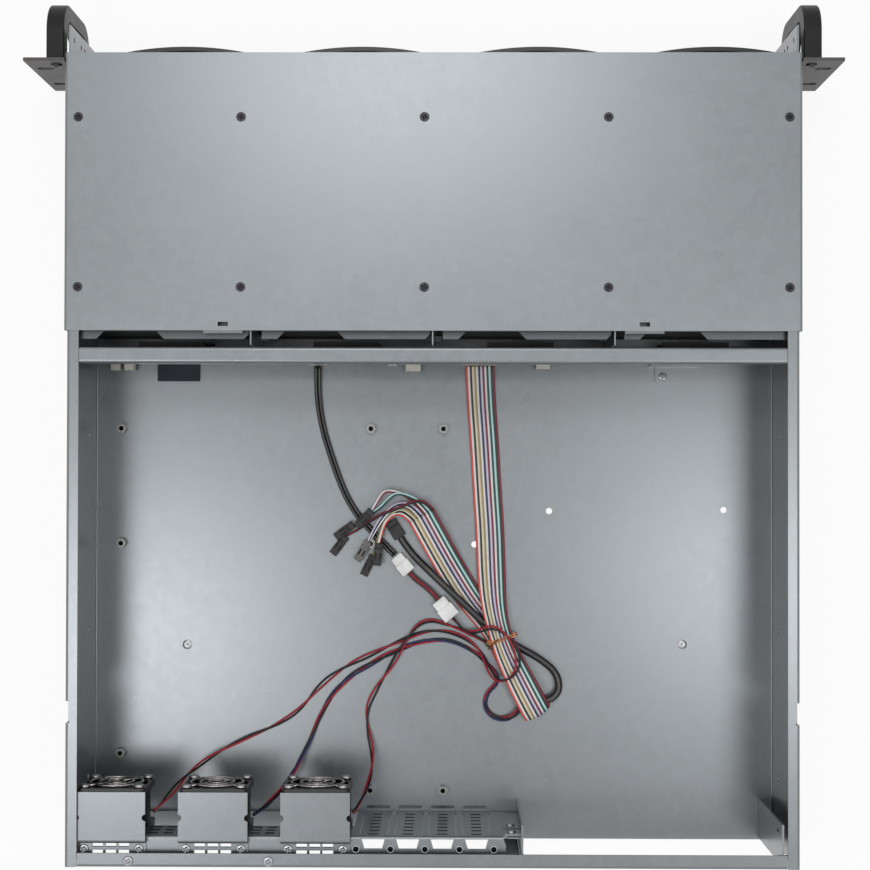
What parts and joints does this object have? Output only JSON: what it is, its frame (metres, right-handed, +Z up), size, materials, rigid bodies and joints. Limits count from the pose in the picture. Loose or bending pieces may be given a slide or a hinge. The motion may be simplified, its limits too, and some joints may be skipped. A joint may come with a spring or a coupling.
{
  "type": "rackmount server case",
  "caption": "Empty rackmount server case: front cover over hot-swap drive trays, open board bay, recessed rear panel with fans, tied front-panel cables, ears and handles.",
  "frame": {"origin": "centre of the bounding box's footprint, on the underside of the case", "axes": "+X to the right seen from the front, -Y out of the front, +Z up"},
  "size_m": [0.4826, 0.511, 0.088],
  "materials": {
    "steel_sheet": "galvanised sheet, matte",
    "tray_plastic": "moulded",
    "lever_plastic": "moulded",
    "ear_paint": "satin",
    "handle_black": "satin",
    "fan_plastic": "moulded",
    "lead_insulation": "smooth",
    "cable_black": "smooth",
    "ribbon": "multi-coloured wires",
    "plug_black": "moulded",
    "plug_white": "moulded",
    "strip_plastic": "moulded",
    "button": "moulded",
    "board": "solder mask",
    "socket": "moulded",
    "brass": "turned",
    "guard_wire": "plated",
    "pad": "matte"
  },
  "bodies": {
    "chassis": {"angle_bracket": "steel_sheet", "backplane": "board", "backplane_sockets": "socket", "cage_dividers": "steel_sheet", "cage_guides": "steel_sheet", "cage_shelves": "steel_sheet", "chassis_tray": "steel_sheet", "control_strip": "strip_plastic", "cross_brace": "steel_sheet", "ear_left": "ear_paint", "ear_right": "ear_paint", "fan_bracket_1": "steel_sheet", "fan_bracket_2": "steel_sheet", "fan_bracket_3": "steel_sheet", "fan_frame_1": "fan_plastic", "fan_frame_2": "fan_plastic", "fan_frame_3": "fan_plastic", "fan_guards": "guard_wire", "fan_lead_1": "lead_insulation", "fan_lead_2": "lead_insulation", "fan_lead_3": "lead_insulation", "floor_pad": "pad", "front_cover": "steel_sheet", "handle_left": "handle_black", "handle_right": "handle_black", "lead_plugs": "plug_white", "link_lead": "lead_insulation", "panel_leads": "cable_black", "panel_plugs": "plug_black", "port_cable": "cable_black", "power_cable": "cable_black", "psu_divider": "steel_sheet", "psu_side_plate": "steel_sheet", "rear_panel": "steel_sheet", "rear_rail": "steel_sheet", "ribbon_cable": "ribbon", "standoffs": "brass"},
    "carrier_lower_1": {"tray_lower_1": "tray_plastic"},
    "latch_lower_1": {"lever_lower_1": "lever_plastic"},
    "carrier_lower_2": {"tray_lower_2": "tray_plastic"},
    "latch_lower_2": {"lever_lower_2": "lever_plastic"},
    "carrier_lower_3": {"tray_lower_3": "tray_plastic"},
    "latch_lower_3": {"lever_lower_3": "lever_plastic"},
    "carrier_lower_4": {"tray_lower_4": "tray_plastic"},
    "latch_lower_4": {"lever_lower_4": "lever_plastic"},
    "carrier_upper_1": {"tray_upper_1": "tray_plastic"},
    "latch_upper_1": {"lever_upper_1": "lever_plastic"},
    "carrier_upper_2": {"tray_upper_2": "tray_plastic"},
    "latch_upper_2": {"lever_upper_2": "lever_plastic"},
    "carrier_upper_3": {"tray_upper_3": "tray_plastic"},
    "latch_upper_3": {"lever_upper_3": "lever_plastic"},
    "carrier_upper_4": {"tray_upper_4": "tray_plastic"},
    "latch_upper_4": {"lever_upper_4": "lever_plastic"},
    "rotor_1": {"fan_rotor_1": "fan_plastic"},
    "rotor_2": {"fan_rotor_2": "fan_plastic"},
    "rotor_3": {"fan_rotor_3": "fan_plastic"},
    "power_key": {"power_button": "button"},
    "reset_key": {"reset_button": "button"}
  },
  "joints": [
    {"name": "carrier_slide_lower_1", "type": "slide", "parent": "chassis", "child": "carrier_lower_1", "axis": [0, -1, 0], "range_m": [0, 0.15]},
    {"name": "latch_hinge_lower_1", "type": "hinge", "parent": "carrier_lower_1", "child": "latch_lower_1", "pos_m": [-0.2077, -0.224, 0.03], "axis": [0, 0, -1], "range_deg": [0, 75]},
    {"name": "carrier_slide_lower_2", "type": "slide", "parent": "chassis", "child": "carrier_lower_2", "axis": [0, -1, 0], "range_m": [0, 0.15]},
    {"name": "latch_hinge_lower_2", "type": "hinge", "parent": "carrier_lower_2", "child": "latch_lower_2", "pos_m": [-0.1007, -0.224, 0.03], "axis": [0, 0, -1], "range_deg": [0, 75]},
    {"name": "carrier_slide_lower_3", "type": "slide", "parent": "chassis", "child": "carrier_lower_3", "axis": [0, -1, 0], "range_m": [0, 0.15]},
    {"name": "latch_hinge_lower_3", "type": "hinge", "parent": "carrier_lower_3", "child": "latch_lower_3", "pos_m": [0.0063, -0.224, 0.03], "axis": [0, 0, -1], "range_deg": [0, 75]},
    {"name": "carrier_slide_lower_4", "type": "slide", "parent": "chassis", "child": "carrier_lower_4", "axis": [0, -1, 0], "range_m": [0, 0.15]},
    {"name": "latch_hinge_lower_4", "type": "hinge", "parent": "carrier_lower_4", "child": "latch_lower_4", "pos_m": [0.1133, -0.224, 0.03], "axis": [0, 0, -1], "range_deg": [0, 75]},
    {"name": "carrier_slide_upper_1", "type": "slide", "parent": "chassis", "child": "carrier_upper_1", "axis": [0, -1, 0], "range_m": [0, 0.15]},
    {"name": "latch_hinge_upper_1", "type": "hinge", "parent": "carrier_upper_1", "child": "latch_upper_1", "pos_m": [-0.2077, -0.224, 0.03], "axis": [0, 0, -1], "range_deg": [0, 75]},
    {"name": "carrier_slide_upper_2", "type": "slide", "parent": "chassis", "child": "carrier_upper_2", "axis": [0, -1, 0], "range_m": [0, 0.15]},
    {"name": "latch_hinge_upper_2", "type": "hinge", "parent": "carrier_upper_2", "child": "latch_upper_2", "pos_m": [-0.1007, -0.224, 0.03], "axis": [0, 0, -1], "range_deg": [0, 75]},
    {"name": "carrier_slide_upper_3", "type": "slide", "parent": "chassis", "child": "carrier_upper_3", "axis": [0, -1, 0], "range_m": [0, 0.15]},
    {"name": "latch_hinge_upper_3", "type": "hinge", "parent": "carrier_upper_3", "child": "latch_upper_3", "pos_m": [0.0063, -0.224, 0.03], "axis": [0, 0, -1], "range_deg": [0, 75]},
    {"name": "carrier_slide_upper_4", "type": "slide", "parent": "chassis", "child": "carrier_upper_4", "axis": [0, -1, 0], "range_m": [0, 0.15]},
    {"name": "latch_hinge_upper_4", "type": "hinge", "parent": "carrier_upper_4", "child": "latch_upper_4", "pos_m": [0.1133, -0.224, 0.03], "axis": [0, 0, -1], "range_deg": [0, 75]},
    {"name": "rotor_spin_1", "type": "hinge", "parent": "chassis", "child": "rotor_1", "pos_m": [0.1886, 0.22, 0.0632], "axis": [0, 1, 0], "continuous": true},
    {"name": "rotor_spin_2", "type": "hinge", "parent": "chassis", "child": "rotor_2", "pos_m": [0.1285, 0.22, 0.0632], "axis": [0, 1, 0], "continuous": true},
    {"name": "rotor_spin_3", "type": "hinge", "parent": "chassis", "child": "rotor_3", "pos_m": [0.0684, 0.22, 0.0632], "axis": [0, 1, 0], "continuous": true},
    {"name": "power_press", "type": "slide", "parent": "chassis", "child": "power_key", "axis": [0, 1, 0], "range_m": [0, 0.002], "stiffness_N_per_m": 400, "springref_m": -0.002},
    {"name": "reset_press", "type": "slide", "parent": "chassis", "child": "reset_key", "axis": [0, 1, 0], "range_m": [0, 0.002], "stiffness_N_per_m": 400, "springref_m": -0.002}
  ]
}
